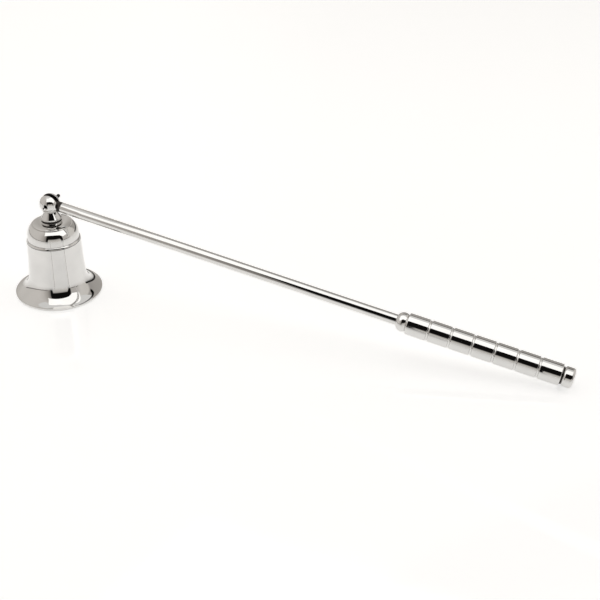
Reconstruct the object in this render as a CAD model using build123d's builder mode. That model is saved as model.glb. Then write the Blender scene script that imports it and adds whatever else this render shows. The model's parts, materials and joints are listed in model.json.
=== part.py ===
# Candle snuffer: a small bell that swings on a slotted ball at the end of a long handle.
# The bell stands on its rim and the handle's end knob rests on the same surface.
# Millimetres. The origin is the centre of the bell's mouth, +Z is up along the bell's axis
# and the handle runs out along +X, sloping down to the surface.

import os
from math import asin, atan2, cos, degrees, hypot, radians, sin, sqrt, tan

from build123d import *

# Bell
body_top_radius = 12.95
body_height = 19.15
body_flare = 0.9
body_hollow = 0.2
brim_width = 7.15
brim_height = 8.15
rim_edge_height = 1.15
rim_land = 0.85
rim_rounding = 0.35
wall = 1.2
bead_inset = 0.1
bead_height = 0.95
bead_bulge = 0.1
fine_groove_width = 0.2
fine_groove_depth = 0.22
lip_inset = 0.65
lip_height = 2.2
shoulder_width = 2.55
shoulder_rise = 4.9
disc_inset = 0.65
disc_edge_height = 0.3
disc_rounding = 0.2
crown_seat_margin = 0.5
crown_rise = 0.8
crown_bulge = 0.12

# Finial: foot, cone and slotted ball, turned in one piece with its stud
foot_radius = 4.85
foot_height = 0.55
undercut_depth = 0.45
undercut_height = 1.35
cone_overhang = 0.43
cone_edge_height = 0.35
cone_edge_rounding = 0.12
cone_flare = 0.55
cone_flare_rise = 0.46
ball_radius = 4.87
ball_rise = 9.28
cone_top_share = 0.6
slot_width = 2.4
slot_floor_clearance = 1.1
stud_radius = 2.0
stud_protrusion = 0.8
stud_clearance = 0.1
stud_chamfer = 0.3

# Washer and nut that hold the finial, inside the bell
washer_width = 2.0
washer_thickness = 0.8
nut_wall = 1.5
nut_height = 3.2
nut_chamfer = 0.35
thread_gap = 0.02

# Pivot pin: sunk in the near ear, standing out of the far one
pin_radius = 0.87
pin_sink = 2.2
pin_protrusion = 4.1
pin_chamfer = 0.2
pin_hole_gap = 0.03
pin_mouth_chamfer = 0.6

# Rod and its tongue
rod_radius = 2.5
rod_length = 179.1
tongue_clearance = 0.2
rod_shoulder_clearance = 1.15
rod_shoulder_rounding = 0.7
spigot_step = 0.5
spigot_length = 14.0
press_gap = 0.02

# Grip
grip_radius = 5.0
grip_length = 70.9
grip_segments = 7
grip_rounding = 0.4
groove_width = 1.2
groove_depth = 0.42
bore_spare = 1.5

# Collar
collar_inset = 0.5
collar_length = 5.1
collar_front_lip = 0.25
collar_back_drop = 0.7
collar_peak_share = 0.57

# End knob
knob_inset = 0.3
knob_neck_step = 0.6
knob_neck_length = 0.45
knob_length = 5.66
knob_rounding = 1.5
knob_crown_slope = 12
knob_stud_length = 9.0

# Room for cuts to run past the surfaces that they open
overrun = 1.0


def touching_pitch(distance, radius, rounding):
    """Slope in radians at which a turned edge of the handle touches the surface.

    The edge is an arc of the given rounding about a point that lies at the
    distance along the handle's axis and the radius below it.
    """
    reach = hypot(distance, radius)
    return asin((ball_height - rounding) / reach) - atan2(radius, reach)


# Heights up the bell and radii in from its rim
waist_radius = body_top_radius + body_flare
waist_height = rim_edge_height + brim_height
rim_radius = waist_radius + brim_width
body_top_height = waist_height + body_height
bead_radius = body_top_radius - bead_inset
bead_foot_height = body_top_height + fine_groove_width
bead_top_height = bead_foot_height + bead_height
lip_radius = body_top_radius - lip_inset
lip_foot_height = bead_top_height + fine_groove_width
lip_top_height = lip_foot_height + lip_height
dome_top_radius = lip_radius - shoulder_width
dome_top_height = lip_top_height + shoulder_rise
disc_radius = dome_top_radius - disc_inset
disc_edge = dome_top_height + disc_edge_height
bell_height = disc_edge + crown_rise
ball_height = bell_height + ball_rise

# Distances along the handle from the pivot and radii about its axis
tongue_length = ball_radius + rod_shoulder_clearance
spigot_radius = rod_radius - spigot_step
collar_radius = grip_radius - collar_inset
collar_back_radius = collar_radius - collar_back_drop
knob_radius = grip_radius - knob_inset
knob_neck_radius = knob_radius - knob_neck_step
grip_end = rod_length + grip_length
knob_corner = grip_end + knob_length - knob_rounding
grip_corner = grip_end - grip_rounding
pitch = min(
    touching_pitch(knob_corner, knob_radius - knob_rounding, knob_rounding),
    touching_pitch(grip_corner, grip_radius - grip_rounding, grip_rounding),
)

# The handle's plane: local x runs along the handle from the pivot, local y stands square above it
handle_plane = Plane(
    origin=(0, 0, ball_height),
    x_dir=(cos(pitch), 0, -sin(pitch)),
    z_dir=(0, -1, 0),
)
handle_axis = Axis(handle_plane.origin, handle_plane.x_dir)

# The pivot's plane: local x runs along the pivot pin, towards the end that stands out
pivot_plane = Plane(origin=(0, 0, ball_height), x_dir=(0, 1, 0), z_dir=(-1, 0, 0))
pivot_axis = Axis(pivot_plane.origin, pivot_plane.x_dir)

os.makedirs("parts", exist_ok=True)


def save(sub_part, name):
    """Label a finished sub-part and write its STEP file."""
    sub_part.part.label = name
    export_step(sub_part.part, f"parts/{name}.step")


# Bell, spun from sheet: flared brim, slightly hollow body, bead between two fine grooves,
# straight lip, round shoulder and low domed crown, flat under the finial, with a hole for its stud
crown_underside = bell_height - wall
crown_inner_radius = disc_radius - wall
crown_seat_radius = foot_radius + crown_seat_margin

with BuildPart() as bell:
    with BuildSketch(Plane.XZ) as wall_section:
        with BuildLine():
            outer_body = SagittaArc(
                (body_top_radius, body_top_height), (waist_radius, waist_height), -body_hollow
            )
            outer_brim = TangentArc(
                outer_body @ 1, (rim_radius, rim_edge_height), tangent=outer_body % 1
            )
            rim_edge = Line(outer_brim @ 1, (rim_radius, 0))
            rim_face = Line(rim_edge @ 1, (rim_radius - rim_land, 0))
            inner_body = SagittaArc(
                (body_top_radius - wall, body_top_height),
                (waist_radius - wall, waist_height),
                -body_hollow,
            )
            TangentArc(inner_body @ 1, rim_face @ 1, tangent=inner_body % 1)
            inner_step = Line(inner_body @ 0, (lip_radius - wall, lip_foot_height))
            inner_lip = Line(inner_step @ 1, (lip_radius - wall, lip_top_height))
            inner_dome = TangentArc(
                inner_lip @ 1, (crown_inner_radius, disc_edge - wall), tangent=inner_lip % 1
            )
            crown_seat = Polyline(
                inner_dome @ 1,
                (crown_seat_radius, crown_underside),
                (0, crown_underside),
                (0, bell_height),
                (crown_seat_radius, bell_height),
            )
            crown_top = SagittaArc(crown_seat @ 1, (disc_radius, disc_edge), crown_bulge)
            disc_side = Polyline(
                crown_top @ 1,
                (disc_radius, dome_top_height),
                (dome_top_radius, dome_top_height),
            )
            outer_dome = TangentArc((lip_radius, lip_top_height), disc_side @ 1, tangent=(0, 1))
            lip_line = Line(outer_dome @ 0, (lip_radius, lip_foot_height))
            Polyline(
                lip_line @ 1,
                (lip_radius - fine_groove_depth, lip_foot_height),
                (lip_radius - fine_groove_depth, bead_top_height),
                (lip_radius, bead_top_height),
            )
            bead = SagittaArc(
                (lip_radius, bead_top_height), (bead_radius, bead_foot_height), bead_bulge
            )
            Polyline(
                bead @ 1,
                (body_top_radius - fine_groove_depth, bead_foot_height),
                (body_top_radius - fine_groove_depth, body_top_height),
                outer_body @ 0,
            )
        make_face()
        fillet(wall_section.vertices().group_by(Axis.X)[-1], radius=rim_rounding)
        disc_corner = wall_section.vertices().sort_by_distance(crown_top @ 1)[0]
        fillet(disc_corner, radius=disc_rounding)
    revolve(axis=Axis.Z)
    with Locations((0, 0, bell_height)):
        Hole(radius=stud_radius + stud_clearance)
save(bell, "bell")

# Finial: stud, foot, undercut, cone and ball turned as one, then slotted and drilled for the pivot
cone_base_radius = foot_radius + cone_overhang
cone_top_radius = ball_radius * cone_top_share
cone_top_height = ball_height - sqrt(ball_radius**2 - cone_top_radius**2)
undercut_foot = bell_height + foot_height
cone_foot = undercut_foot + undercut_height
nut_foot = crown_underside - washer_thickness - nut_height
stud_foot = nut_foot - stud_protrusion
slot_depth = rod_radius + slot_floor_clearance
pin_hole_radius = pin_radius + pin_hole_gap
mouth_radius = pin_hole_radius + pin_mouth_chamfer
mouth_reach = sqrt(ball_radius**2 - mouth_radius**2)

with BuildPart() as clevis_finial:
    with BuildSketch(Plane.XZ):
        with BuildLine():
            turned = Polyline(
                (0, ball_height + ball_radius),
                (0, stud_foot),
                (stud_radius, stud_foot),
                (stud_radius, bell_height),
                (foot_radius, bell_height),
                (foot_radius, undercut_foot),
                (foot_radius - undercut_depth, undercut_foot),
                (foot_radius - undercut_depth, cone_foot),
                (cone_base_radius, cone_foot),
                (cone_base_radius, cone_foot + cone_edge_height),
            )
            cone = Line(
                (cone_top_radius, cone_top_height),
                (cone_base_radius - cone_flare, cone_foot + cone_edge_height + cone_flare_rise),
            )
            TangentArc(cone @ 1, turned @ 1, tangent=cone % 1)
            ThreePointArc(cone @ 0, (ball_radius, ball_height), turned @ 0)
        make_face()
    revolve(axis=Axis.Z)
    cone_edges = (
        clevis_finial.edges()
        .filter_by(GeomType.CIRCLE)
        .filter_by_position(Axis.Z, cone_foot, cone_foot + cone_edge_height)
        .group_by(SortBy.RADIUS)[-1]
    )
    fillet(cone_edges, radius=cone_edge_rounding)
    chamfer(clevis_finial.edges().group_by(Axis.Z)[0], length=stud_chamfer)
    with BuildSketch(Plane.XY.offset(ball_height - slot_depth)):
        Rectangle(2 * (cone_base_radius + overrun), slot_width)
    extrude(amount=slot_depth + ball_radius + overrun, mode=Mode.SUBTRACT)
    with BuildSketch(pivot_plane):
        Rectangle(2 * (ball_radius + overrun), pin_hole_radius, align=(Align.CENTER, Align.MIN))
        with BuildLine():
            Polyline(
                (pin_mouth_chamfer - mouth_reach, 0),
                (pin_mouth_chamfer - mouth_reach, pin_hole_radius),
                (-mouth_reach - overrun, mouth_radius + overrun),
                (-mouth_reach - overrun, 0),
                close=True,
            )
        make_face()
    revolve(axis=pivot_axis, mode=Mode.SUBTRACT)
save(clevis_finial, "clevis_finial")

# Washer under the crown
with BuildPart() as crown_washer:
    with BuildSketch(Plane.XY.offset(crown_underside - washer_thickness)):
        Circle(stud_radius + washer_width)
        Circle(stud_radius + stud_clearance, mode=Mode.SUBTRACT)
    extrude(amount=washer_thickness)
save(crown_washer, "crown_washer")

# Hexagon nut on the finial's stud, with its free corners chamfered
nut_inradius = stud_radius + nut_wall

with BuildPart() as crown_nut:
    with BuildSketch(Plane.XY.offset(nut_foot)):
        RegularPolygon(radius=nut_inradius, side_count=6, major_radius=False)
    extrude(amount=nut_height)
    with BuildSketch(Plane.XY.offset(nut_foot)):
        Circle(nut_inradius)
    extrude(amount=nut_height, taper=-degrees(atan2(nut_height, nut_chamfer)) / 2, mode=Mode.INTERSECT)
    with Locations((0, 0, nut_foot)):
        Hole(radius=stud_radius + thread_gap)
save(crown_nut, "crown_nut")

# Pivot pin: starts inside the near ear, passes through the tongue and ends past the far ear
pin_start = pin_sink - ball_radius
pin_end = ball_radius + pin_protrusion

with BuildPart() as pivot_pin:
    with BuildSketch(pivot_plane):
        with Locations((pin_start, 0)):
            Rectangle(pin_end - pin_start, pin_radius, align=(Align.MIN, Align.MIN))
    revolve(axis=pivot_axis)
    chamfer(pivot_pin.edges().filter_by(GeomType.CIRCLE), length=pin_chamfer)
save(pivot_pin, "pivot_pin")

# Rod: round-ended bar, flattened to a tongue that swings in the ball's slot, with a spigot for the grip
tongue_half = slot_width / 2 - tongue_clearance

with BuildPart() as rod:
    with BuildSketch(handle_plane):
        with BuildLine():
            round_end = CenterArc((0, 0), rod_radius, 180, -90)
            Polyline(
                round_end @ 1,
                (rod_length, rod_radius),
                (rod_length, spigot_radius),
                (rod_length + spigot_length, spigot_radius),
                (rod_length + spigot_length, 0),
                round_end @ 0,
            )
        make_face()
    revolve(axis=handle_axis)
    for side in (1, -1):
        with BuildSketch(handle_plane.offset(side * tongue_half)):
            with Locations((tongue_length, 0)):
                Rectangle(
                    tongue_length + rod_radius + overrun,
                    2 * (rod_radius + overrun),
                    align=(Align.MAX, Align.CENTER),
                )
        extrude(amount=side * (rod_radius + overrun), mode=Mode.SUBTRACT)
    shoulder_edges = (
        rod.edges()
        .filter_by(GeomType.CIRCLE)
        .filter_by_position(handle_axis, tongue_length - overrun, tongue_length + overrun)
    )
    fillet(shoulder_edges, radius=rod_shoulder_rounding)
    with BuildSketch(handle_plane.offset(-rod_radius)):
        Circle(pin_hole_radius)
    extrude(amount=2 * rod_radius, mode=Mode.SUBTRACT)
save(rod, "rod")

# Collar: a round bead on the rod, hard against the grip
collar_start = rod_length - collar_length

with BuildPart() as collar:
    with BuildSketch(handle_plane):
        with BuildLine():
            outer = ThreePointArc(
                (collar_start, rod_radius + collar_front_lip),
                (collar_start + collar_length * collar_peak_share, collar_radius),
                (rod_length, collar_back_radius),
            )
            Polyline(
                outer @ 1,
                (rod_length, rod_radius + press_gap),
                (collar_start, rod_radius + press_gap),
                outer @ 0,
            )
        make_face()
    revolve(axis=handle_axis)
save(collar, "collar")

# Grip: turned bar with evenly spaced round-bottomed grooves, bored at both ends
segment = grip_length / grip_segments
groove_arc = (groove_width**2 / 4 + groove_depth**2) / (2 * groove_depth)

with BuildPart() as grip:
    with BuildSketch(handle_plane):
        with Locations((rod_length, 0)):
            Rectangle(grip_length, grip_radius, align=(Align.MIN, Align.MIN))
    revolve(axis=handle_axis)
    fillet(grip.edges().filter_by(GeomType.CIRCLE), radius=grip_rounding)
    with BuildSketch(handle_plane):
        for number in range(1, grip_segments):
            with Locations((rod_length + number * segment, grip_radius - groove_depth + groove_arc)):
                Circle(groove_arc)
        with Locations((rod_length, 0)):
            Rectangle(
                spigot_length + bore_spare, spigot_radius + press_gap, align=(Align.MIN, Align.MIN)
            )
        with Locations((grip_end, 0)):
            Rectangle(
                knob_stud_length + bore_spare, stud_radius + thread_gap, align=(Align.MAX, Align.MIN)
            )
    revolve(axis=handle_axis, mode=Mode.SUBTRACT)
save(grip, "grip")

# End knob: neck, rounded drum and slightly crowned end, screwed into the grip by its stud
drum_start = grip_end + knob_neck_length
shoulder_base = knob_radius - knob_rounding
crown_edge_radius = shoulder_base + knob_rounding * sin(radians(knob_crown_slope))
crown_edge = knob_corner + knob_rounding * cos(radians(knob_crown_slope))
handle_length = crown_edge + crown_edge_radius * tan(radians(knob_crown_slope) / 2)

with BuildPart() as end_knob:
    with BuildSketch(handle_plane):
        with BuildLine():
            front_shoulder = CenterArc((drum_start + knob_rounding, shoulder_base), knob_rounding, 180, -90)
            end_shoulder = CenterArc((knob_corner, shoulder_base), knob_rounding, 90, knob_crown_slope - 90)
            Line(front_shoulder @ 1, end_shoulder @ 0)
            TangentArc(end_shoulder @ 1, (handle_length, 0), tangent=end_shoulder % 1)
            Polyline(
                (handle_length, 0),
                (grip_end - knob_stud_length, 0),
                (grip_end - knob_stud_length, stud_radius),
                (grip_end, stud_radius),
                (grip_end, knob_neck_radius),
                (drum_start, knob_neck_radius),
                front_shoulder @ 0,
            )
        make_face()
    revolve(axis=handle_axis)
save(end_knob, "end_knob")

print("ball centre height", round(ball_height, 4))
print("handle slope, degrees", round(degrees(pitch), 4))
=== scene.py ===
# Candle snuffer: the turned and polished pieces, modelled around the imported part.
import json
import math

import bmesh
import bpy
from mathutils import Matrix, Vector


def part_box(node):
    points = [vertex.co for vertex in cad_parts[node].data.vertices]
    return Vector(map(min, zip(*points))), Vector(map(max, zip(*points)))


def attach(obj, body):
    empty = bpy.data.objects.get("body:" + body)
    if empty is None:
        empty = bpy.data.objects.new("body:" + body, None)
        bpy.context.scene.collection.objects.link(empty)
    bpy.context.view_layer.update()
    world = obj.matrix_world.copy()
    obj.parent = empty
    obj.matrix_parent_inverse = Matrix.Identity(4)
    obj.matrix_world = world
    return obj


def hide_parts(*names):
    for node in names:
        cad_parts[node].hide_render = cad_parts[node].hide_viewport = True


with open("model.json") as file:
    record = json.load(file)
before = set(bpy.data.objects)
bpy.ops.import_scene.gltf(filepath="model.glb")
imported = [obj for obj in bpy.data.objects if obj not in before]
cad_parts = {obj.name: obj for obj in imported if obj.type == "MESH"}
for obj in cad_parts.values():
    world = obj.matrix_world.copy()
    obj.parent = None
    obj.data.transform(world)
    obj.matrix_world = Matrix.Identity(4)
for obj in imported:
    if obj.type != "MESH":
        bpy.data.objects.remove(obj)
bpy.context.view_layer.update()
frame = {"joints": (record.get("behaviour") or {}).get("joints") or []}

mm = 0.001               # settings are in millimetres, the meshes in metres
turnSteps = 192          # facets round a turned piece
smallSteps = 96          # facets round a small one, and round a drill
cornerFacets = 8         # facets of a rounded corner, unless a piece says otherwise
holdLine = 0.03          # mm from a corner to the extra ring that keeps a flat flat
touch = 0.02             # mm: a face this close to a limit still counts as inside it
weld = 1e-7              # metres: points closer than this are one
speck = 1e-8             # metres: edges shorter than this are dissolved

# Places that come from the frame
pivotPoint = Vector(frame["joints"][0]["pos_m"])
gripLow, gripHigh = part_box("grip")
gripMiddle = (gripLow + gripHigh) / 2
handleSlope = math.atan2(pivotPoint.z - gripMiddle.z, gripMiddle.x - pivotPoint.x)
onHandle = Matrix.Translation(pivotPoint) @ Matrix.Rotation(handleSlope, 4, "Y")
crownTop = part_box("bell")[1].z / mm
print("frame: handle slope", round(math.degrees(handleSlope), 3), "crown at", round(crownTop, 3), "mm")


# Drawing and turning an outline
class Pen:
    # draws an outline in millimetres: along is the turning axis, out the distance from it
    def __init__(self, mesh, out, along):
        self.mesh = mesh
        self.tip = mesh.verts.new((out * mm, 0, along * mm))
        self.first = self.tip

    def at(self):
        return Vector((self.tip.co.x, self.tip.co.z)) / mm

    def step(self, out, along):
        made = bmesh.ops.extrude_vert_indiv(self.mesh, verts=[self.tip])
        self.tip = made["verts"][0]
        self.tip.co = (out * mm, 0, along * mm)

    def line(self, out, along, hold=holdLine):
        # a straight stretch with a ring close to each end, so that its shading stays straight,
        # where it is long enough to have room for both
        start, end = self.at(), Vector((out, along))
        run = end - start
        if run.length > 4 * hold:
            inward = run.normalized() * hold
            self.step(*(start + inward))
            self.step(*(end - inward))
        self.step(out, along)

    def arc(self, centre, turn, facets):
        # turn in degrees about centre, anticlockwise with out to the right and along upwards
        made = bmesh.ops.spin(
            self.mesh, geom=[self.tip], cent=(centre[0] * mm, 0, centre[1] * mm),
            axis=(0, -1, 0), angle=math.radians(turn), steps=facets, use_merge=False,
        )
        self.tip = made["geom_last"][0]

    def arcTo(self, out, along, heading, facets):
        # the arc that leaves the tip along heading, in degrees, and ends at the point given
        start, end = self.at(), Vector((out, along))
        ahead = Vector((math.cos(math.radians(heading)), math.sin(math.radians(heading))))
        left = Vector((-ahead.y, ahead.x))
        chord = end - start
        radius = chord.length_squared / (2 * chord.dot(left))
        turn = 2 * math.degrees(math.atan2(chord.dot(left), chord.dot(ahead)))
        self.arc(start + left * radius, turn, facets)

    def bulgeTo(self, out, along, bulge, facets):
        # the arc to the point given that swells to the left of the way there
        run = Vector((out, along)) - self.at()
        heading = math.atan2(run.y, run.x) + 2 * math.atan2(2 * bulge, run.length)
        self.arcTo(out, along, math.degrees(heading), facets)

    def corner(self, out, along, nextOut, nextAlong, rounding, facets=cornerFacets):
        # a rounded corner at the point given, on the way to the next one
        here, peak, ahead = self.at(), Vector((out, along)), Vector((nextOut, nextAlong))
        back, front = (here - peak).normalized(), (ahead - peak).normalized()
        half = back.angle(front) / 2
        reach = rounding / math.tan(half)
        centre = peak + (back + front).normalized() * rounding / math.sin(half)
        self.line(*(peak + back * reach))
        turn = 180 - 2 * math.degrees(half)
        side = back.x * front.y - back.y * front.x
        self.arc(centre, turn if side < 0 else -turn, facets)

    def close(self):
        self.mesh.edges.new((self.tip, self.first))


def turned(mesh, placing=Matrix.Identity(4), steps=turnSteps):
    # spins the outline about the upright axis, closes its poles and sets it in place
    bmesh.ops.spin(
        mesh, geom=mesh.verts[:] + mesh.edges[:], cent=(0, 0, 0), axis=(0, 0, 1),
        angle=math.tau, steps=steps, use_merge=True,
    )
    bmesh.ops.remove_doubles(mesh, verts=mesh.verts[:], dist=weld)
    bmesh.ops.dissolve_degenerate(mesh, dist=speck, edges=mesh.edges[:])
    bmesh.ops.recalc_face_normals(mesh, faces=mesh.faces[:])
    bmesh.ops.transform(mesh, matrix=placing, verts=mesh.verts[:])


def roundOff(mesh, corners, offset, facets=3):
    # rounds corners of an outline before it is turned
    bmesh.ops.bevel(
        mesh, geom=corners, offset=offset * mm, offset_type="OFFSET", affect="VERTICES",
        segments=facets, profile=0.5, material=-1, clamp_overlap=True,
    )


def circleThrough(first, second, third):
    # centre and radius of the circle through three points of an outline
    a, b = second - first, third - first
    cross = 2 * (a.x * b.y - a.y * b.x)
    centre = first + Vector((
        b.y * a.length_squared - a.y * b.length_squared,
        a.x * b.length_squared - b.x * a.length_squared,
    )) / cross
    return centre, (first - centre).length


def trim(mesh, point, normal):
    # cuts off what lies beyond the plane and closes the cut
    cut = bmesh.ops.bisect_plane(
        mesh, geom=mesh.verts[:] + mesh.edges[:] + mesh.faces[:], dist=weld,
        plane_co=point, plane_no=normal, clear_outer=True,
    )
    rim = [e for e in cut["geom_cut"] if isinstance(e, bmesh.types.BMEdge)]
    bmesh.ops.holes_fill(mesh, edges=rim, sides=0)
    bmesh.ops.recalc_face_normals(mesh, faces=mesh.faces[:])


def thread(mesh, radius, pitch, low, high, depthShare=0.6, crestShare=1 / 8, steps=48):
    # a screw thread as one helical ridge between two heights, closed flat at both ends: its
    # depth and the width of its crest are shares of the pitch
    root = radius - depthShare * pitch
    turns = math.ceil((high - low) / pitch) + 2
    ridge = bmesh.new()
    pen = Pen(ridge, root, low - pitch)
    pen.step(radius, low - pitch * (1 + crestShare) / 2)
    pen.step(radius, low - pitch * (1 - crestShare) / 2)
    pen.step(root, low)
    bmesh.ops.spin(
        ridge, geom=ridge.verts[:] + ridge.edges[:], cent=(0, 0, 0), axis=(0, 0, 1),
        dvec=(0, 0, pitch * mm / steps), angle=math.tau * turns, steps=steps * turns,
        use_merge=False,
    )
    bmesh.ops.remove_doubles(ridge, verts=ridge.verts[:], dist=weld)
    trim(ridge, Vector((0, 0, high * mm)), Vector((0, 0, 1)))
    trim(ridge, Vector((0, 0, low * mm)), Vector((0, 0, -1)))
    data = bpy.data.meshes.new("ridge")
    ridge.to_mesh(data)
    ridge.free()
    mesh.from_mesh(data)
    bpy.data.meshes.remove(data)


def cylinderCutter(radius, length):
    # a plain drill along Y through the origin
    mesh = bmesh.new()
    bmesh.ops.create_cone(
        mesh, cap_ends=True, segments=smallSteps, radius1=radius * mm, radius2=radius * mm,
        depth=length * mm, matrix=Matrix.Rotation(math.radians(90), 4, "X"),
    )
    return mesh


def combine(mesh, other, operation):
    # unites a mesh with another, or cuts it, and frees the other
    objects = []
    for shape in (mesh, other):
        data = bpy.data.meshes.new("blank")
        shape.to_mesh(data)
        objects.append(bpy.data.objects.new("blank", data))
        bpy.context.scene.collection.objects.link(objects[-1])
    other.free()
    modifier = objects[0].modifiers.new("combine", "BOOLEAN")
    modifier.object = objects[1]
    modifier.operation = operation
    modifier.solver = "EXACT"
    shown = objects[0].evaluated_get(bpy.context.evaluated_depsgraph_get())
    result = bpy.data.meshes.new_from_object(shown)
    mesh.clear()
    mesh.from_mesh(result)
    for spare in objects:
        data = spare.data
        bpy.data.objects.remove(spare)
        bpy.data.meshes.remove(data)
    bpy.data.meshes.remove(result)
    bmesh.ops.remove_doubles(mesh, verts=mesh.verts[:], dist=weld)


def finished(mesh, name, body, node, materials, finishOf=None, sharp=32):
    # makes the object, gives each face its finish, shades it smooth up to the sharp angle, in
    # degrees, and ties it to the frame
    mesh.normal_update()
    if finishOf:
        for face in mesh.faces:
            face.material_index = finishOf(face.calc_center_median() / mm, face.normal)
    for face in mesh.faces:
        face.smooth = True
    for edge in mesh.edges:
        edge.smooth = not edge.is_manifold or edge.calc_face_angle() < math.radians(sharp)
    data = bpy.data.meshes.new(name)
    mesh.to_mesh(data)
    mesh.free()
    piece = bpy.data.objects.new(name, data)
    bpy.context.scene.collection.objects.link(piece)
    for material in materials:
        data.materials.append(material)
    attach(piece, body)
    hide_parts(node)
    print("made", name, "with", len(data.polygons), "faces")
    return piece


# local z of a turned outline becomes the handle's axis, or the pivot pin's
alongHandle = onHandle @ Matrix.Rotation(math.radians(90), 4, "Y")
alongPivot = Matrix.Translation(pivotPoint) @ Matrix.Rotation(math.radians(-90), 4, "X")


# Materials
def linear(hexColour):
    # sRGB hex to linear
    parts = [int(hexColour[i:i + 2], 16) / 255 for i in (1, 3, 5)]
    return [p / 12.92 if p <= 0.04045 else ((p + 0.055) / 1.055) ** 2.4 for p in parts] + [1]


def addNode(tree, kind, settings=None, links=None):
    # adds a node, sets its properties or sockets by name and links its inputs
    node = tree.nodes.new(kind)
    for key, value in (settings or {}).items():
        if isinstance(key, int) or key in node.inputs:
            node.inputs[key].default_value = value
        else:
            setattr(node, key, value)
    for key, source in (links or {}).items():
        tree.links.new(source, node.inputs[key])
    return node


def newMaterial(name):
    material = bpy.data.materials.new(name)
    material.use_nodes = True
    material.node_tree.nodes.clear()
    return material, material.node_tree


noiseSpan = (0.3, 0.7)   # nearly all of a noise texture's values lie between these
tintSpan = (0.35, 0.65)  # and most of them between these


def ramp(node, stops):
    # replaces a colour ramp's stops by pairs of place and colour
    elements = node.color_ramp.elements
    while len(elements) > 1:
        elements.remove(elements[-1])
    (firstPlace, firstColour), *others = stops
    elements[0].position = firstPlace
    elements[0].color = linear(firstColour)
    for place, colour in others:
        elements.new(place).color = linear(colour)


def turnedPlace(tree, placing):
    # a place in the piece's own axes, and as distance out and along, the same all the way round
    toPiece = placing.inverted()
    place = addNode(tree, "ShaderNodeTexCoord")
    own = addNode(tree, "ShaderNodeMapping", {
        "Location": toPiece.to_translation(), "Rotation": toPiece.to_euler(),
    }, {"Vector": place.outputs["Object"]})
    apart = addNode(tree, "ShaderNodeSeparateXYZ", links={"Vector": own.outputs["Vector"]})
    flat = addNode(tree, "ShaderNodeCombineXYZ", links={
        "X": apart.outputs["X"], "Y": apart.outputs["Y"],
    })
    out = addNode(tree, "ShaderNodeVectorMath", {"operation": "LENGTH"},
                  {0: flat.outputs["Vector"]})
    ring = addNode(tree, "ShaderNodeCombineXYZ", links={
        "X": out.outputs["Value"], "Z": apart.outputs["Z"],
    })
    return own.outputs["Vector"], ring.outputs["Vector"]


def markedMetal(name, placing, f):
    # metal with slow waves and fine marks round the piece, from one dictionary of its finish
    material, tree = newMaterial(name)
    own, ring = turnedPlace(tree, placing)
    waves = addNode(tree, "ShaderNodeTexNoise", {"Scale": 1 / (f["waveLength"] * mm), "Detail": 1},
                    {"Vector": own})
    marks = addNode(tree, "ShaderNodeTexNoise", {"Scale": 1 / (f["markSpacing"] * mm), "Detail": 2},
                    {"Vector": ring})
    tint = addNode(tree, "ShaderNodeValToRGB", links={"Fac": waves.outputs["Fac"]})
    ramp(tint, zip(tintSpan, f["colours"]))
    gloss = addNode(tree, "ShaderNodeMapRange", {
        "From Min": noiseSpan[0], "From Max": noiseSpan[1],
        "To Min": f["roughness"][0], "To Max": f["roughness"][1],
    }, {"Value": marks.outputs["Fac"]})
    slow = addNode(tree, "ShaderNodeBump", {"Distance": f["waveHeight"] * mm},
                   {"Height": waves.outputs["Fac"]})
    fine = addNode(tree, "ShaderNodeBump", {"Distance": f["markDepth"] * mm},
                   {"Height": marks.outputs["Fac"], "Normal": slow.outputs["Normal"]})
    surface = addNode(tree, "ShaderNodeBsdfPrincipled", {"Metallic": 1}, {
        "Base Color": tint.outputs["Color"], "Roughness": gloss.outputs["Result"],
        "Normal": fine.outputs["Normal"],
    })
    addNode(tree, "ShaderNodeOutputMaterial", links={"Surface": surface.outputs["BSDF"]})
    return material


# Nickel plate over turned brass, buffed to a mirror: a slightly warm grey that shows the room
# sharply. The buffing wheel leaves faint marks round the piece, drawn three times as coarse as
# real so that they show, and the hand that holds it a slow waviness.
buffedNickel = {
    "colours": ("#DAD9D7", "#D5D4D2"), "roughness": (0.03, 0.07),
    "waveLength": 9.0, "waveHeight": 0.03, "markSpacing": 0.45, "markDepth": 0.0006,
}
# The same plate over cutter marks, in slots, grooves and holes that no wheel reaches: it stays
# half matt, and its colour is darkened as painted shade, the shade those recesses hold.
toolMarksAndPaintedShade = {
    "colours": ("#4F4C49", "#3B3937"), "roughness": (0.35, 0.5),
    "waveLength": 2.0, "waveHeight": 0.01, "markSpacing": 0.2, "markDepth": 0.006,
}
# The plate inside the spun bell, never buffed: satin, with the rings of the spinning tool
spunNickel = {
    "colours": ("#C9C6C1", "#BFBBB5"), "roughness": (0.22, 0.34),
    "waveLength": 6.0, "waveHeight": 0.03, "markSpacing": 0.8, "markDepth": 0.008,
}
# Bare steel off the lathe: bright grey with fine turning rings that spread the light
turnedSteel = {
    "colours": ("#C4C4C3", "#B6B6B6"), "roughness": (0.2, 0.34),
    "waveLength": 4.0, "waveHeight": 0.01, "markSpacing": 0.25, "markDepth": 0.005,
}
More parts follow.
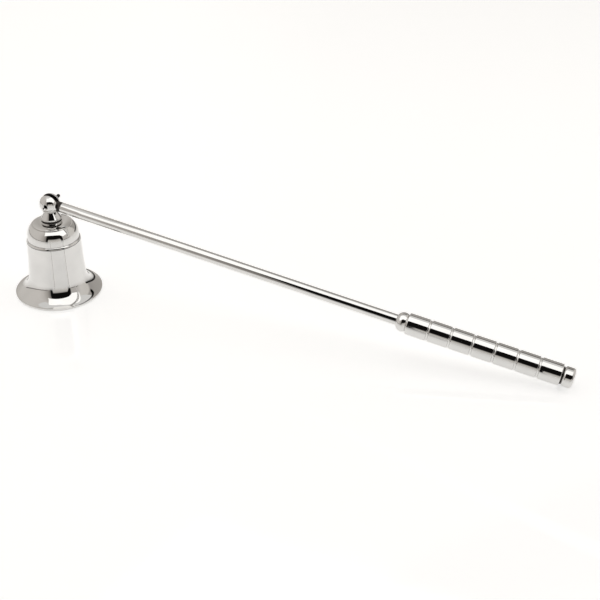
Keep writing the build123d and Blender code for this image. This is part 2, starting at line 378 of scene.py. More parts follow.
# Steel wire drawn to size and darkened in oil: nearly black, with a soft shine
darkenedSteel = {
    "colours": ("#3E3D3C", "#2C2B2A"), "roughness": (0.24, 0.36),
    "waveLength": 1.5, "waveHeight": 0.01, "markSpacing": 0.12, "markDepth": 0.002,
}
upright = Matrix.Identity(4)
buffedUpright = markedMetal("buffedNickelPlate", upright, buffedNickel)
buffedHandle = markedMetal("buffedNickelPlateOfHandle", alongHandle, buffedNickel)
# the tool-marked plate, for the upright pieces and the handle: half matt, with painted shade in its
# dark colour
cutPaintedShadeUpright = markedMetal("toolMarkedNickelPaintedShade", upright, toolMarksAndPaintedShade)
cutPaintedShadeHandle = markedMetal("toolMarkedNickelPaintedShadeOfHandle", alongHandle, toolMarksAndPaintedShade)
spunInside = markedMetal("spunNickelPlate", upright, spunNickel)
brightSteel = markedMetal("turnedSteel", upright, turnedSteel)
darkSteel = markedMetal("darkenedDrawnSteel", alongPivot, darkenedSteel)
print("made", len(bpy.data.materials), "materials")


# Bell
bellSizes = {
    "bodyTopRadius": 12.95, "bodyHollow": 0.2, "waistRadius": 13.85, "waistHeight": 9.3,
    "bodyTopHeight": 28.45, "rimRadius": 21.0, "rimEdge": 1.15, "rimLand": 0.85,
    "rimRounding": 0.35, "wall": 1.2, "beadInset": 0.1, "beadHeight": 0.95, "beadBulge": 0.1,
    "grooveWidth": 0.2, "grooveDepth": 0.22, "lipRadius": 12.3, "lipTop": 31.4,
    "domeTopRadius": 9.75, "domeTop": 36.9, "discRadius": 9.1, "discEdge": 37.2,
    "discRounding": 0.2, "crownSlope": 19.2, "seatRadius": 5.35, "studHole": 2.1,
    "crownFacets": 12, "shoulderFacets": 28, "beadFacets": 8, "bodyFacets": 40,
    "brimFacets": 48, "innerBrimFacets": 32, "innerFacets": 24,
}


def bellOutline(mesh, s):
    crown, wall = crownTop, s["wall"]
    pen = Pen(mesh, s["studHole"], crown)
    pen.line(s["seatRadius"], crown)
    # the crown falls from its flat seat in a low dome, which ends two roundings short of the
    # disc's edge and leaves the rest to the rounded corner
    disc = Vector((s["discRadius"], s["discEdge"]))
    shy = disc + Vector((-1, math.tan(math.radians(s["crownSlope"])))) * 2 * s["discRounding"]
    fall = shy - pen.at()
    pen.arcTo(*shy, 2 * math.degrees(math.atan2(fall.y, fall.x)) + s["crownSlope"],
              s["crownFacets"])
    pen.corner(*disc, s["discRadius"], s["domeTop"], s["discRounding"])
    pen.line(s["discRadius"], s["domeTop"])
    pen.line(s["domeTopRadius"], s["domeTop"])
    # the shoulder is drawn downwards: it arrives upright at the lip
    shoulderRun = Vector((s["lipRadius"] - s["domeTopRadius"], s["domeTop"] - s["lipTop"]))
    shoulderTurn = 2 * math.degrees(math.atan2(shoulderRun.x, shoulderRun.y))
    pen.arcTo(s["lipRadius"], s["lipTop"], -90 + shoulderTurn, s["shoulderFacets"])
    groove, depth = s["grooveWidth"], s["grooveDepth"]
    beadFoot = s["bodyTopHeight"] + groove
    beadTop = beadFoot + s["beadHeight"]
    lipFoot = beadTop + groove
    pen.line(s["lipRadius"], lipFoot)
    pen.step(s["lipRadius"] - depth, lipFoot)
    pen.step(s["lipRadius"] - depth, beadTop)
    pen.step(s["lipRadius"], beadTop)
    beadRadius = s["bodyTopRadius"] - s["beadInset"]
    pen.bulgeTo(beadRadius, beadFoot, s["beadBulge"], s["beadFacets"])
    pen.step(s["bodyTopRadius"] - depth, beadFoot)
    pen.step(s["bodyTopRadius"] - depth, s["bodyTopHeight"])
    pen.step(s["bodyTopRadius"], s["bodyTopHeight"])
    flare = s["waistRadius"] - s["bodyTopRadius"]
    drop = s["bodyTopHeight"] - s["waistHeight"]
    lean = math.degrees(math.atan2(flare, drop))
    swing = 2 * math.degrees(math.atan2(2 * s["bodyHollow"], math.hypot(flare, drop)))
    pen.arcTo(s["waistRadius"], s["waistHeight"], -90 + lean - swing, s["bodyFacets"])
    brimHeading = -90 + lean + swing
    pen.arcTo(s["rimRadius"], s["rimEdge"], brimHeading, s["brimFacets"])
    pen.corner(s["rimRadius"], 0, s["rimRadius"] - s["rimLand"], 0, s["rimRounding"])
    rimInner = Vector((s["rimRadius"] - s["rimLand"], 0))
    pen.line(*rimInner)
    # inside, from the rim up: the same forms set in by the wall
    waistInner = Vector((s["waistRadius"] - wall, s["waistHeight"]))
    run = rimInner - waistInner
    heading = math.degrees(math.atan2(run.y, run.x))
    arrive = 2 * heading - brimHeading
    pen.arcTo(*waistInner, arrive + 180, s["innerBrimFacets"])
    pen.arcTo(s["bodyTopRadius"] - wall, s["bodyTopHeight"], 90 + lean + swing,
              s["innerFacets"])
    pen.line(s["lipRadius"] - wall, lipFoot)
    pen.line(s["lipRadius"] - wall, s["lipTop"])
    pen.arcTo(s["discRadius"] - wall, s["discEdge"] - wall, 90, s["innerFacets"])
    pen.line(s["seatRadius"], crown - wall)
    pen.line(s["studHole"], crown - wall)
    pen.close()


def bellFinish(place, facing):
    # buffed outside; tool-marked and darkened as painted shade in the two fine grooves; spun inside,
    # where faces look inwards or, under the crown, down
    s = bellSizes
    inwards, down = -0.2, -0.5
    out = Vector((place.x, place.y, 0))
    beadFoot = s["bodyTopHeight"] + s["grooveWidth"]
    lower = s["bodyTopHeight"] <= place.z <= beadFoot
    upper = 0 <= place.z - beadFoot - s["beadHeight"] <= s["grooveWidth"]
    edge = s["bodyTopRadius"] if lower else s["lipRadius"]
    if (lower or upper) and edge - s["wall"] / 2 < out.length < edge:
        return 1
    onWall = facing.dot(out.normalized()) < inwards
    underCrown = facing.z < down and place.z > s["lipTop"]
    return 2 if onWall or underCrown else 0


bellMesh = bmesh.new()
bellOutline(bellMesh, bellSizes)
turned(bellMesh)
finished(bellMesh, "spunBell", "bell_body", "bell",
         [buffedUpright, cutPaintedShadeUpright, spunInside], bellFinish)


# Grip: turned bar with six round-bottomed grooves
gripSizes = {
    "radius": 5.0, "start": 179.1, "length": 70.9, "segments": 7, "rounding": 0.4,
    "grooveWidth": 1.2, "grooveDepth": 0.42, "grooveEdge": 0.1, "grooveHold": 0.15,
    "grooveFacets": 12,
}


def gripOutline(mesh, s):
    end = s["start"] + s["length"]
    pitch = s["length"] / s["segments"]
    half, depth = s["grooveWidth"] / 2, s["grooveDepth"]
    hollow = (half * half + depth * depth) / (2 * depth)
    sweep = 2 * math.degrees(math.asin(half / hollow))
    pen = Pen(mesh, 0, s["start"])
    pen.corner(s["radius"], s["start"], s["radius"], end, s["rounding"])
    grooveEdges = []
    for number in range(1, s["segments"]):
        middle = s["start"] + number * pitch
        pen.line(s["radius"], middle - half, hold=s["grooveHold"])
        grooveEdges.append(pen.tip)
        pen.arc((s["radius"] - depth + hollow, middle), -sweep, s["grooveFacets"])
        grooveEdges.append(pen.tip)
    pen.corner(s["radius"], end, 0, end, s["rounding"])
    pen.line(0, end)
    roundOff(mesh, grooveEdges, s["grooveEdge"])


gripMesh = bmesh.new()
gripOutline(gripMesh, gripSizes)
turned(gripMesh, alongHandle)
finished(gripMesh, "turnedGrip", "handle_body", "grip", [buffedHandle])


# Collar: a round bead on the rod, hard against the grip
collarSizes = {
    "start": 174.0, "length": 5.1, "radius": 4.5, "frontRadius": 2.75, "backRadius": 3.8,
    "peakShare": 0.57, "bore": 2.52, "edge": 0.12, "facets": 40,
}


def collarOutline(mesh, s):
    end = s["start"] + s["length"]
    peak = Vector((s["radius"], s["start"] + s["peakShare"] * s["length"]))
    front, back = Vector((s["frontRadius"], s["start"])), Vector((s["backRadius"], end))
    pen = Pen(mesh, s["bore"], s["start"])
    pen.step(*front)
    edges = [pen.tip]
    centre, radius = circleThrough(front, peak, back)
    turn = math.degrees((back - centre).angle_signed(front - centre))
    pen.arc(centre, turn, s["facets"])
    edges.append(pen.tip)
    pen.step(s["bore"], end)
    pen.close()
    roundOff(mesh, edges, s["edge"])


collarMesh = bmesh.new()
collarOutline(collarMesh, collarSizes)
turned(collarMesh, alongHandle)
finished(collarMesh, "turnedCollar", "handle_body", "collar",
         [buffedHandle])


# End knob: neck, rounded drum and slightly crowned end, with its stud inside the grip
knobSizes = {
    "start": 250.0, "length": 5.66, "radius": 4.7, "neckRadius": 4.1, "neckLength": 0.45,
    "rounding": 1.5, "crownSlope": 12, "stud": 2.0, "studLength": 9.0,
    "roundingFacets": 20, "crownFacets": 24,
}


def knobOutline(mesh, s):
    start, rounding, slope = s["start"], s["rounding"], s["crownSlope"]
    drum, corner = start + s["neckLength"], start + s["length"] - rounding
    base = s["radius"] - rounding
    pen = Pen(mesh, 0, start - s["studLength"])
    pen.line(s["stud"], start - s["studLength"])
    pen.line(s["stud"], start)
    pen.line(s["neckRadius"], start)
    pen.line(s["neckRadius"], drum)
    pen.line(base, drum)
    pen.arc((base, drum + rounding), 90, s["roundingFacets"])
    pen.line(s["radius"], corner)
    pen.arc((base, corner), 90 - slope, s["roundingFacets"])
    edge = pen.at()
    crown = edge.x / math.sin(math.radians(slope))
    pen.arc((0, edge.y - crown * math.cos(math.radians(slope))), slope, s["crownFacets"])


def knobFinish(place, facing):
    # buffed, but tool-marked and darkened as painted shade on the stud, in the neck and on the drum's
    # face beside it
    local = alongHandle.inverted() @ (place * mm) / mm
    return 1 if local.z < knobSizes["start"] + knobSizes["neckLength"] + touch else 0


knobMesh = bmesh.new()
knobOutline(knobMesh, knobSizes)
turned(knobMesh, alongHandle)
finished(knobMesh, "turnedKnob", "handle_body", "end_knob",
         [buffedHandle, cutPaintedShadeHandle], knobFinish)


# Rod: bright bar with a rounded shoulder, its end flattened to a tongue for the slot
rodSizes = {
    "radius": 2.5, "length": 179.1, "shoulder": 6.02, "shoulderRounding": 0.7,
    "spigotRadius": 2.0, "spigotLength": 14.0,
    "tongueThickness": 2.0, "tongueRadius": 2.45, "tongueEdge": 0.3, "pinHole": 0.9,
    # the share of the shoulder's rounding that takes the tool-marked plate with painted shade
    "toolMarkAndShadeShare": 0.7, "tongueFacets": 32, "edgeFacets": 4,
}


def rodOutline(mesh, s):
    end = s["length"] + s["spigotLength"]
    pen = Pen(mesh, 0, s["shoulder"])
    pen.corner(s["radius"], s["shoulder"], s["radius"], s["length"], s["shoulderRounding"])
    pen.line(s["radius"], s["length"])
    pen.line(s["spigotRadius"], s["length"])
    pen.line(s["spigotRadius"], end)
    pen.line(0, end)


def tongueBlank(mesh, s):
    # a slab with a round end about the pivot, drawn flat, then thickened and bevelled all round
    radius, half = s["tongueRadius"] * mm, s["tongueThickness"] / 2 * mm
    root = (s["shoulder"] + s["shoulderRounding"]) * mm
    tip = mesh.verts.new((0, -half, radius))
    made = bmesh.ops.spin(
        mesh, geom=[tip], cent=(0, -half, 0), axis=(0, -1, 0), angle=math.pi,
        steps=s["tongueFacets"], use_merge=False,
    )
    low = made["geom_last"][0]
    lowRoot = mesh.verts.new((root, -half, -radius))
    highRoot = mesh.verts.new((root, -half, radius))
    for pair in ((low, lowRoot), (lowRoot, highRoot), (highRoot, tip)):
        mesh.edges.new(pair)
    face = bmesh.ops.contextual_create(mesh, geom=mesh.edges[:])["faces"][0]
    raised = bmesh.ops.extrude_face_region(mesh, geom=[face])["geom"]
    bmesh.ops.translate(
        mesh, vec=(0, 2 * half, 0), verts=[v for v in raised if isinstance(v, bmesh.types.BMVert)],
    )
    bmesh.ops.recalc_face_normals(mesh, faces=mesh.faces[:])
    rims = [e for e in mesh.edges if abs(e.verts[0].co.y - e.verts[1].co.y) < half]
    bmesh.ops.bevel(
        mesh, geom=rims, offset=s["tongueEdge"] * mm, offset_type="OFFSET", affect="EDGES",
        segments=s["edgeFacets"], profile=0.5, material=-1, clamp_overlap=False,
    )


def rodFinish(place, facing):
    # buffed, but the tongue, its hole and most of the shoulder's rounding keep their tool marks,
    # darkened as painted shade
    s = rodSizes
    local = onHandle.inverted() @ (place * mm) / mm
    return 1 if local.x < s["shoulder"] + s["toolMarkAndShadeShare"] * s["shoulderRounding"] else 0


rodMesh = bmesh.new()
rodOutline(rodMesh, rodSizes)
turned(rodMesh, Matrix.Rotation(math.radians(90), 4, "Y"))
tongueMesh = bmesh.new()
tongueBlank(tongueMesh, rodSizes)
holeMesh = cylinderCutter(rodSizes["pinHole"], 2 * rodSizes["radius"])
combine(tongueMesh, holeMesh, "DIFFERENCE")
combine(rodMesh, tongueMesh, "UNION")
bmesh.ops.transform(rodMesh, matrix=onHandle, verts=rodMesh.verts[:])
finished(rodMesh, "brightRod", "handle_body", "rod",
         [buffedHandle, cutPaintedShadeHandle], rodFinish)


# Finial: stud, foot, undercut and cone turned as one with the slotted ball
finialSizes = {
    "studRadius": 2.0, "studEnd": 32.0, "threadLength": 1.2, "threadPitch": 0.7,
    "footRadius": 4.85, "footHeight": 0.55, "undercutDepth": 0.45, "undercutHeight": 1.35,
    "coneBase": 5.28, "coneEdge": 0.35, "coneFlare": 0.55, "coneFlareRise": 0.14,
    "edgeRounding": 0.12, "ballRadius": 4.87, "coneTopShare": 0.6, "slotWidth": 2.4, "slotDepth": 3.6,
    "slotEdge": 0.14, "seatSpare": 0.012, "earRoot": 0.15,
    "pinHole": 0.9, "mouthRadius": 1.5, "holeEdge": 0.06,
    "footFacets": 4, "edgeFacets": 6, "flareFacets": 12, "undersideFacets": 6, "ballFacets": 40,
}
ballHeight = pivotPoint.z / mm
earFoot = ballHeight - finialSizes["slotDepth"] - finialSizes["earRoot"]


def finialBase(mesh, s):
    # everything below the slot, from the stud's end up to the flat floor between the ears
    foot = crownTop + s["footHeight"]
    coneFoot = foot + s["undercutHeight"]
    topRadius = s["ballRadius"] * s["coneTopShare"]
    coneTop = ballHeight - math.sqrt(s["ballRadius"] ** 2 - topRadius ** 2)
    waist = s["footRadius"] - s["undercutDepth"]
    coneEdge = Vector((s["coneBase"], coneFoot + s["coneEdge"]))
    flareTop = coneEdge + Vector((-s["coneFlare"], s["coneFlareRise"]))
    # the flare leaves the edge low and runs into the straight cone
    steep = math.atan2(coneTop - flareTop.y, topRadius - flareTop.x)
    leave = 2 * math.atan2(s["coneFlareRise"], -s["coneFlare"]) - steep
    floorRadius = math.sqrt(s["ballRadius"] ** 2 - s["slotDepth"] ** 2) + s["seatSpare"]
    pen = Pen(mesh, 0, s["studEnd"] + s["threadLength"] / 2)
    pen.line(s["studRadius"] - s["threadPitch"], s["studEnd"] + s["threadLength"] / 2)
    pen.line(s["studRadius"], s["studEnd"] + s["threadLength"])
    pen.line(s["studRadius"], crownTop)
    pen.line(s["footRadius"], crownTop)
    pen.corner(s["footRadius"], foot, waist, foot, s["edgeRounding"] / 2, s["footFacets"])
    pen.line(waist, foot)
    pen.line(waist, coneFoot)
    pen.corner(s["coneBase"], coneFoot, *coneEdge, s["edgeRounding"], s["edgeFacets"])
    pen.corner(*coneEdge, *(coneEdge + Vector((math.cos(leave), math.sin(leave)))),
               s["edgeRounding"], s["edgeFacets"])
    pen.arcTo(*flareTop, math.degrees(leave), s["flareFacets"])
    pen.line(topRadius, coneTop)
    underside = math.degrees(math.asin(s["coneTopShare"]))
    pen.arcTo(floorRadius, ballHeight - s["slotDepth"], underside, s["undersideFacets"])
    pen.line(0, ballHeight - s["slotDepth"])


def ear(mesh, s, side, chamfered):
    # one side of the ball, drawn about the pivot's axis: side is -1 for the sunk end of the pin
    radius, wall = s["ballRadius"], s["slotWidth"] / 2
    opening = s["mouthRadius"] if chamfered else s["pinHole"]
    edge = Vector((math.sqrt(radius ** 2 - wall ** 2), side * wall))
    towardsPole = Vector((-edge.y, edge.x)) * side
    pole = side * math.sqrt(radius ** 2 - opening ** 2)
    pen = Pen(mesh, s["pinHole"], side * wall)
    pen.corner(*edge, *(edge + towardsPole), s["slotEdge"], s["edgeFacets"])
    pen.arcTo(opening, pole, math.degrees(math.atan2(towardsPole.y, towardsPole.x)),
              s["ballFacets"])
    mouth = pen.tip
    if chamfered:
        pen.step(s["pinHole"], pole - side * (opening - s["pinHole"]))
    pen.close()
    roundOff(mesh, [mouth], s["holeEdge"])


def finialFinish(place, facing):
    # buffed, but the undercut, the slot, the pin's hole and the stud keep their tool marks, darkened
    # as painted shade
    s = finialSizes
    inSlot = abs(place.y) < s["slotWidth"] / 2 + touch and place.z > earFoot
    inHole = math.hypot(place.x, place.z - ballHeight) < s["pinHole"] + touch
    onStud = place.z < crownTop and math.hypot(place.x, place.y) < s["studRadius"] + touch
    foot = crownTop + s["footHeight"]
    inUndercut = foot - touch < place.z < foot + s["undercutHeight"] - touch
    return 1 if inSlot or inHole or onStud or inUndercut else 0


finialMesh = bmesh.new()
finialBase(finialMesh, finialSizes)
turned(finialMesh)
for side, chamfered in ((-1, True), (1, False)):
    earMesh = bmesh.new()
    ear(earMesh, finialSizes, side, chamfered)
    turned(earMesh, alongPivot)
    trim(earMesh, Vector((0, 0, earFoot * mm)), Vector((0, 0, -1)))
    combine(finialMesh, earMesh, "UNION")
thread(finialMesh, finialSizes["studRadius"], finialSizes["threadPitch"],
       finialSizes["studEnd"], finialSizes["studEnd"] + finialSizes["threadLength"])
finished(finialMesh, "slottedBallFinial", "bell_body", "clevis_finial",
         [buffedUpright, cutPaintedShadeUpright], finialFinish)


# Pivot pin: sunk in the near ear, through the tongue and out of the far ear
pinSizes = {
    "radius": 0.87, "start": -2.67, "end": 8.97, "chamfer": 0.2, "edge": 0.05, "edgeFacets": 3,
}


def pinOutline(mesh, s):
    low, high, step = s["start"], s["end"], s["chamfer"]
    corners = (
        (s["radius"] - step, low), (s["radius"], low + step), (s["radius"], high - step),
        (s["radius"] - step, high), (0, high),
    )
    pen = Pen(mesh, 0, low)
    for here, ahead in zip(corners, corners[1:]):
        pen.corner(*here, *ahead, s["edge"], s["edgeFacets"])
    pen.line(0, high)


pinMesh = bmesh.new()
pinOutline(pinMesh, pinSizes)
turned(pinMesh, alongPivot, smallSteps)
finished(pinMesh, "pivotPin", "bell_body", "pivot_pin", [darkSteel])


# Washer and nut under the bell's crown
nutSizes = {
    "acrossFlats": 7.0, "height": 3.2, "foot": 32.8, "bore": 2.02, "chamfer": 0.35,
    "washerRadius": 4.0, "washerThickness": 0.8, "washerBore": 2.1, "edge": 0.1,
    "edgeFacets": 4, "chamferAngle": 30,
}


def washerOutline(mesh, s):
    low = s["foot"] + s["height"]
    high = low + s["washerThickness"]
    pen = Pen(mesh, s["washerBore"], low)
    pen.corner(s["washerRadius"], low, s["washerRadius"], high, s["edge"], s["edgeFacets"])
    pen.corner(s["washerRadius"], high, s["washerBore"], high, s["edge"], s["edgeFacets"])
    pen.line(s["washerBore"], high)
    pen.close()


def nutBlank(mesh, s):
    # a hexagon bar cut to length
    outer = s["acrossFlats"] / 2 / math.cos(math.pi / 6) * mm
    bmesh.ops.create_cone(
        mesh, cap_ends=True, segments=6, radius1=outer, radius2=outer, depth=s["height"] * mm,
    )
    bmesh.ops.translate(mesh, vec=(0, 0, (s["foot"] + s["height"] / 2) * mm), verts=mesh.verts[:])


def nutTurning(mesh, s):
    # what a lathe leaves of the bar: chamfered at both ends and bored through
    outer = s["acrossFlats"] / 2 / math.cos(math.pi / 6) + s["chamfer"]
    flat = s["acrossFlats"] / 2 - s["chamfer"] / 2
    low, high = s["foot"], s["foot"] + s["height"]
    drop = (outer - flat) * math.tan(math.radians(s["chamferAngle"]))
    pen = Pen(mesh, s["bore"], low)
    pen.line(flat, low)
    pen.line(outer, low + drop)
    pen.line(outer, high - drop)
    pen.line(flat, high)
    pen.line(s["bore"], high)
    pen.close()


washerMesh = bmesh.new()
washerOutline(washerMesh, nutSizes)
turned(washerMesh, steps=smallSteps)
finished(washerMesh, "crownWasher", "bell_body", "crown_washer", [brightSteel])
nutMesh = bmesh.new()
nutBlank(nutMesh, nutSizes)
latheMesh = bmesh.new()
nutTurning(latheMesh, nutSizes)
turned(latheMesh, steps=smallSteps)
combine(nutMesh, latheMesh, "INTERSECT")
finished(nutMesh, "crownNut", "bell_body", "crown_nut", [brightSteel])


# Camera at the photograph's view
cameraView = {
    "azimuth": 19.283, "elevation": 31.714, "distance": 574.154, "lens": 75.532,
    "target": (126.078, -1.273, 20.0), "nearest": 10,
}
azimuth = math.radians(cameraView["azimuth"])
elevation = math.radians(cameraView["elevation"])
towards = Vector((
    math.sin(azimuth) * math.cos(elevation),
    -math.cos(azimuth) * math.cos(elevation),
    math.sin(elevation),
))
camera = bpy.data.objects.new("camera", bpy.data.cameras.new("camera"))
camera.data.lens = cameraView["lens"]
camera.data.clip_start = cameraView["nearest"] * mm
camera.location = Vector(cameraView["target"]) * mm + towards * cameraView["distance"] * mm
camera.rotation_euler = (math.pi / 2 - elevation, 0, azimuth)
bpy.context.scene.collection.objects.link(camera)
bpy.context.scene.camera = camera
print("set the camera")


# Studio: the metal shows it as a mirror does, so it is a tent of cards round the bell, seen in
# the metal alone, with a dark opening on the viewer's side. Places are in millimetres, and
# bearings in degrees from the viewer's side of the bell, turning to +X.
tent = {
    "radius": 950, "foot": -30, "openingLeft": -2, "openingRight": 71,
    "leftEnd": -165, "leftTop": 1650, "rightEnd": 195, "rightTop": 1050,
    "darkRadius": 1000, "darkTop": 2400, "darkOverlap": 6,
    "wingEnd": -42, "wingTop": 2700, "cardGap": 4,
    "ledgeTop": 310, "ledgeCorners": ((8, 5), (58, 63)), "ledgeSteps": 16,
    "seamLow": 500, "seamHigh": 710, "seamRise": 890, "seamStart": 150, "seamEnd": 202,
    "softHeight": 204, "softStrength": 1.5,
    "softCorners": ((-60, -222), (-44, -157), (-50, -38), (2, -20), (36, 76), (60, 74),
                    (150, 62), (365, 62), (365, -102), (190, -97), (90, -146)),
    "darkFeet": ((-14, -108, 22), (74, 104, 22), (140, 215, 75)),
    "joints": (((9, -27), 13.5), ((24, -14), 71)), "jointTaper": 0.014, "jointLift": 0.3,
    "floorReach": 3000,
}


def onTent(bearing, radius, height):
    # a place on the tent
    turn = math.radians(bearing)
    return Vector((math.sin(turn) * radius, -math.cos(turn) * radius, height)) * mm


def staged(mesh, name, material, seen=False, lights=True):
    # a stage piece: seen by the camera or only in the metal, and lighting the floor or not
    data = bpy.data.meshes.new(name)
    mesh.to_mesh(data)
    mesh.free()
    data.materials.append(material)
    card = bpy.data.objects.new(name, data)
    card.visible_camera = seen
    card.visible_diffuse = lights
    bpy.context.scene.collection.objects.link(card)
    return card


def curvedCard(name, start, end, radius, low, high, material, rise=0, steps=48):
    # an upright card bent round the bell between two bearings, level or rising on the way
    mesh = bmesh.new()
    foot = mesh.verts.new(onTent(start, radius, low))
    head = mesh.verts.new(onTent(start, radius, high))
    edge = mesh.edges.new((foot, head))
    bmesh.ops.spin(
        mesh, geom=[foot, head, edge], cent=(0, 0, 0), axis=(0, 0, 1),
        angle=math.radians(end - start), steps=steps, dvec=(0, 0, rise * mm / steps),
        use_merge=False,
    )
    return staged(mesh, name, material)


def glow(name, hexColour, strength=1):
    # an evenly lit card
    material, tree = newMaterial(name)
    light = addNode(tree, "ShaderNodeEmission", {"Color": linear(hexColour), "Strength": strength})
    addNode(tree, "ShaderNodeOutputMaterial", links={"Surface": light.outputs["Emission"]})
    return material


def wallCloth():
    # grey cloth walls, dim at the back and darkest beside the opening's left edge
    material, tree = newMaterial("wallCloth")
    where = addNode(tree, "ShaderNodeTexCoord")
    turn = addNode(tree, "ShaderNodeMapping", {"Rotation": (0, 0, math.radians(90))},
                   {"Vector": where.outputs["Object"]})
    around = addNode(tree, "ShaderNodeTexGradient", {"gradient_type": "RADIAL"},
                     {"Vector": turn.outputs["Vector"]})
    shade = addNode(tree, "ShaderNodeValToRGB", links={"Fac": around.outputs["Fac"]})
    # a radial gradient starts from behind, so a place here is a bearing plus 180
    places = (
        (0, "#B4B0AB"), (10, "#B8B4AF"), (22, "#D6D2CD"), (32, "#CAC6C1"), (42, "#C2BEB9"),
        (60, "#DCD8D3"), (135, "#DFDAD5"), (150, "#D6D1CC"),
        (166, "#B9B4AE"), (172, "#A29D98"), (176, "#8A8681"), (180, "#706C68"),
        (252, "#C6C2BD"), (275, "#D0CBC7"), (290, "#E6E2DD"), (322, "#E2DED8"),
        (330, "#AEAAA6"), (345, "#B4B0AB"), (360, "#B4B0AB"),
    )
    ramp(shade, [(place / 360, colour) for place, colour in places])
    light = addNode(tree, "ShaderNodeEmission", links={"Color": shade.outputs["Color"]})
    addNode(tree, "ShaderNodeOutputMaterial", links={"Surface": light.outputs["Emission"]})
    return material


def ledgeCloth():
    # the cloth under the opening: bright by the floor, falling off towards its top edge
    material, tree = newMaterial("ledgeCloth")
    place = addNode(tree, "ShaderNodeTexCoord")
    apart = addNode(tree, "ShaderNodeSeparateXYZ", links={"Vector": place.outputs["Object"]})
    height = addNode(tree, "ShaderNodeMapRange", {"From Max": tent["ledgeTop"] * mm},
                     {"Value": apart.outputs["Z"]})
    shade = addNode(tree, "ShaderNodeValToRGB", links={"Fac": height.outputs["Result"]})
    ramp(shade, [(0, "#DDD9D4"), (0.5, "#CCC8C3"), (0.8, "#B4B0AB"), (0.93, "#827F7B"),
                 (1, "#3A3836")])
    light = addNode(tree, "ShaderNodeEmission", links={"Color": shade.outputs["Color"]})
    addNode(tree, "ShaderNodeOutputMaterial", links={"Surface": light.outputs["Emission"]})
    return material


def ledge(name, t, material):
    # spans the opening's lower part and leaves a dark gap, narrow at the floor, at either end
    (leftHigh, leftLow), (rightHigh, rightLow) = t["ledgeCorners"]
    mesh = bmesh.new()
    rows = []
    for number in range(t["ledgeSteps"] + 1):
        share = number / t["ledgeSteps"]
        low = mesh.verts.new(onTent(leftLow + share * (rightLow - leftLow), t["radius"], 0))
        high = mesh.verts.new(
            onTent(leftHigh + share * (rightHigh - leftHigh), t["radius"], t["ledgeTop"]))
        rows.append((low, high))
    for (low, high), (nextLow, nextHigh) in zip(rows, rows[1:]):
        mesh.faces.new((low, nextLow, nextHigh, high))
    return staged(mesh, name, material)


def overhead(name, t, material):
    # a flat light over the object: its front edge is square to the viewer at the bell and runs
    # along the grip, its back edge runs behind the handle and is cut back behind the bell
    mesh = bmesh.new()
    mesh.faces.new([
        mesh.verts.new((x * mm, y * mm, t["softHeight"] * mm)) for x, y in t["softCorners"]
    ])
    return staged(mesh, name, material, lights=False)


def floorJoint(name, start, bearing, t, material):
    # a fine joint between two floor boards: from beside the bell out to the walls, wider with
    # distance so that it stays as fine in the metal
    near = Vector((start[0], start[1], t["jointLift"])) * mm
    far = onTent(bearing, t["radius"], t["jointLift"])
    across = (far - near).cross(Vector((0, 0, 1))).normalized() * t["jointTaper"]
    mesh = bmesh.new()
    mesh.faces.new([mesh.verts.new(corner) for corner in (
        near - across * near.length, near + across * near.length,
        far + across * far.length, far - across * far.length,
    )])
    card = staged(mesh, name, material, lights=False)
    card.visible_shadow = False


cloth = wallCloth()
dark = glow("darkRoom", "#121110")
curvedCard("leftWall", tent["openingLeft"], tent["leftEnd"], tent["radius"], tent["foot"],
           tent["leftTop"], cloth)
curvedCard("rightWall", tent["openingRight"], tent["rightEnd"], tent["radius"], tent["foot"],
           tent["rightTop"], cloth)
curvedCard("darkOpening", tent["openingLeft"] - tent["darkOverlap"],
           tent["openingRight"] + tent["darkOverlap"], tent["darkRadius"], tent["foot"],
           tent["darkTop"], dark)
curvedCard("leftWing", tent["openingLeft"], tent["wingEnd"], tent["radius"], tent["leftTop"],
           tent["wingTop"], cloth)
# the dark line along the walls' foot, and a dark seam that rises across the back wall: in the
# metal they draw the horizon and the line above it
inFront = tent["radius"] - tent["cardGap"]
for start, end, height in tent["darkFeet"]:
    curvedCard("darkFoot", start, end, inFront, 0, height, dark)
curvedCard("darkSeam", tent["seamStart"], tent["seamEnd"], inFront, tent["seamLow"],
           tent["seamHigh"], dark, tent["seamRise"])
shaded = glow("shadedJoint", "#CFCCC8")
for start, bearing in tent["joints"]:
    floorJoint("floorJoint", start, bearing, tent, shaded)
ledge("ledge", tent, ledgeCloth())
overhead("overheadLight", tent, glow("lightPanel", "#FFFEFC", tent["softStrength"]))

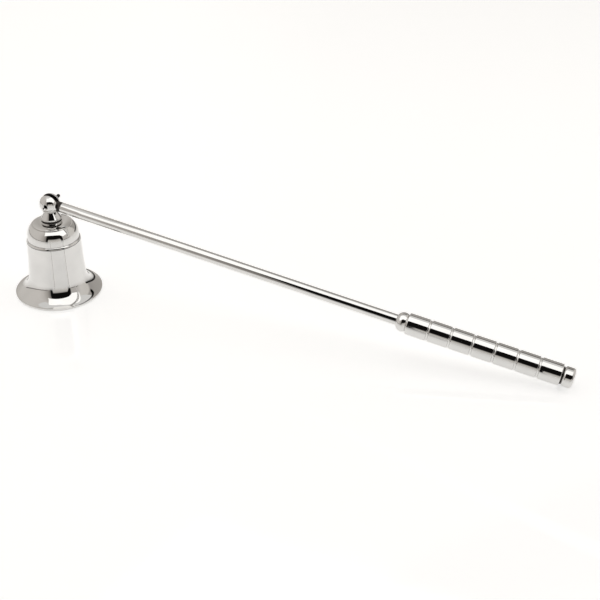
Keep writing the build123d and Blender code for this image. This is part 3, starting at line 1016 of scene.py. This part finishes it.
world = bpy.data.worlds.new("studio")
bpy.context.scene.world = world
world.use_nodes = True
world.node_tree.nodes["Background"].inputs["Color"].default_value = linear("#EEEDEB")


floorFinish = {"colour": "#F2F2F1", "lift": 0.57, "roughness": 0.08, "ior": 1.45}


def whiteBoard(f):
    # white board under a gloss lacquer: it keeps the object's shadow, mirrors the walls at a low
    # angle and is lifted to white where it is looked at, straight or in the metal
    material, tree = newMaterial("lacqueredBoard")
    board = addNode(tree, "ShaderNodeBsdfDiffuse", {"Color": linear(f["colour"])})
    ray = addNode(tree, "ShaderNodeLightPath")
    direct = addNode(tree, "ShaderNodeMath", {"operation": "MAXIMUM"},
                     {0: ray.outputs["Is Camera Ray"], 1: ray.outputs["Is Glossy Ray"]})
    looked = addNode(tree, "ShaderNodeMath", {"operation": "MAXIMUM"},
                     {0: direct.outputs["Value"], 1: ray.outputs["Is Transmission Ray"]})
    share = addNode(tree, "ShaderNodeMath", {"operation": "MULTIPLY", 1: f["lift"]},
                    {0: looked.outputs["Value"]})
    lift = addNode(tree, "ShaderNodeEmission", {"Color": linear("#FFFFFF")},
                   {"Strength": share.outputs["Value"]})
    lifted = addNode(tree, "ShaderNodeAddShader", links={
        0: board.outputs["BSDF"], 1: lift.outputs["Emission"],
    })
    lacquer = addNode(tree, "ShaderNodeBsdfGlossy", {
        "Color": linear("#FFFFFF"), "Roughness": f["roughness"],
    })
    edgeOn = addNode(tree, "ShaderNodeFresnel", {"IOR": f["ior"]})
    both = addNode(tree, "ShaderNodeMixShader", links={
        0: edgeOn.outputs["Fac"], 1: lifted.outputs["Shader"], 2: lacquer.outputs["BSDF"],
    })
    addNode(tree, "ShaderNodeOutputMaterial", links={"Surface": both.outputs["Shader"]})
    return material


floorMesh = bmesh.new()
bmesh.ops.create_grid(floorMesh, x_segments=1, y_segments=1, size=tent["floorReach"] * mm)
staged(floorMesh, "floor", whiteBoard(floorFinish), seen=True)
print("made the studio")

bpy.context.scene.view_settings.view_transform = "Standard"
